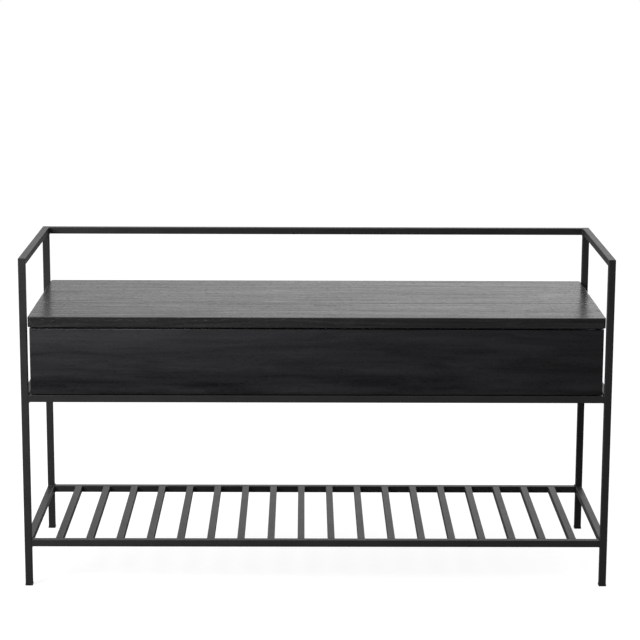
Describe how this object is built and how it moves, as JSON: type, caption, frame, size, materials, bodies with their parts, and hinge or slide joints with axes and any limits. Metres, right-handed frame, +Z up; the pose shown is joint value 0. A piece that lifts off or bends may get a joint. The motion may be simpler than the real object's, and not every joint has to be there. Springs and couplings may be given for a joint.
{
  "type": "storage bench",
  "caption": "Entryway bench: black square-tube frame with raised arms and back rail, storage box under a lift-up seat held open by sliding stays, slatted shoe shelf below.",
  "frame": {"origin": "on the floor, under the middle of the bench", "axes": "+X along the bench to the right seen from the front, +Y to the back, +Z up"},
  "size_m": [1.001, 0.351, 0.571],
  "materials": {
    "black_steel": "satin black powder coat with a fine texture",
    "seat_board": "black-stained board with open grain under a satin lacquer",
    "box_board": "black-stained board with lengthwise grain, satin",
    "glide_plastic": "moulded, fine texture",
    "felt": "pressed felt",
    "zinc_steel": "zinc-plated sheet steel",
    "screw_steel": "zinc-plated screws"
  },
  "bodies": {
    "frame": {"arm_left": "black_steel", "arm_right": "black_steel", "box_back": "box_board", "box_bearer_left": "black_steel", "box_bearer_right": "black_steel", "box_bolts": "screw_steel", "box_floor": "box_board", "box_front": "box_board", "box_screws": "screw_steel", "box_side_left": "box_board", "box_side_right": "box_board", "felt_pads": "felt", "floor_glide_back_left": "glide_plastic", "floor_glide_back_right": "glide_plastic", "floor_glide_front_left": "glide_plastic", "floor_glide_front_right": "glide_plastic", "hinge_box_leaf_left": "zinc_steel", "hinge_box_leaf_right": "zinc_steel", "hinge_pins": "zinc_steel", "post_back_left": "black_steel", "post_back_right": "black_steel", "post_front_left": "black_steel", "post_front_right": "black_steel", "ring_rail_back": "black_steel", "ring_rail_front": "black_steel", "ring_rail_left": "black_steel", "ring_rail_right": "black_steel", "shelf_rail_back": "black_steel", "shelf_rail_front": "black_steel", "shelf_rail_left": "black_steel", "shelf_rail_right": "black_steel", "shelf_slat_01": "black_steel", "shelf_slat_02": "black_steel", "shelf_slat_03": "black_steel", "shelf_slat_04": "black_steel", "shelf_slat_05": "black_steel", "shelf_slat_06": "black_steel", "shelf_slat_07": "black_steel", "shelf_slat_08": "black_steel", "shelf_slat_09": "black_steel", "shelf_slat_10": "black_steel", "shelf_slat_11": "black_steel", "shelf_slat_12": "black_steel", "shelf_slat_13": "black_steel", "shelf_slat_14": "black_steel", "shelf_slat_15": "black_steel", "shelf_slat_16": "black_steel", "shelf_slat_17": "black_steel", "shelf_slat_18": "black_steel", "stay_track_left": "zinc_steel", "stay_track_right": "zinc_steel", "top_rail_back": "black_steel"},
    "seat": {"seat_lid": "seat_board", "hinge_lid_leaf_left": "zinc_steel", "hinge_lid_leaf_right": "zinc_steel", "stay_bracket_left": "zinc_steel", "stay_bracket_right": "zinc_steel", "lid_screws": "screw_steel"},
    "stay_left": {"stay_arm_left": "zinc_steel"},
    "stay_right": {"stay_arm_right": "zinc_steel"}
  },
  "joints": [
    {"name": "seat_hinge", "type": "hinge", "parent": "frame", "child": "seat", "pos_m": [0, 0.17, 0.45225], "axis": [-1, 0, 0], "range_deg": [0, 74]},
    {"name": "stay_pivot_left", "type": "hinge", "parent": "seat", "child": "stay_left", "pos_m": [-0.4614, 0.02545, 0.42684], "axis": [1, 0, 0], "range_deg": [0, 148]},
    {"name": "stay_pivot_right", "type": "hinge", "parent": "seat", "child": "stay_right", "pos_m": [0.4614, 0.02545, 0.42684], "axis": [1, 0, 0], "range_deg": [0, 148]}
  ],
  "couplings": [
    {"joint": "stay_pivot_left", "follows": "seat_hinge", "ratio": 2},
    {"joint": "stay_pivot_right", "follows": "seat_hinge", "ratio": 2}
  ]
}
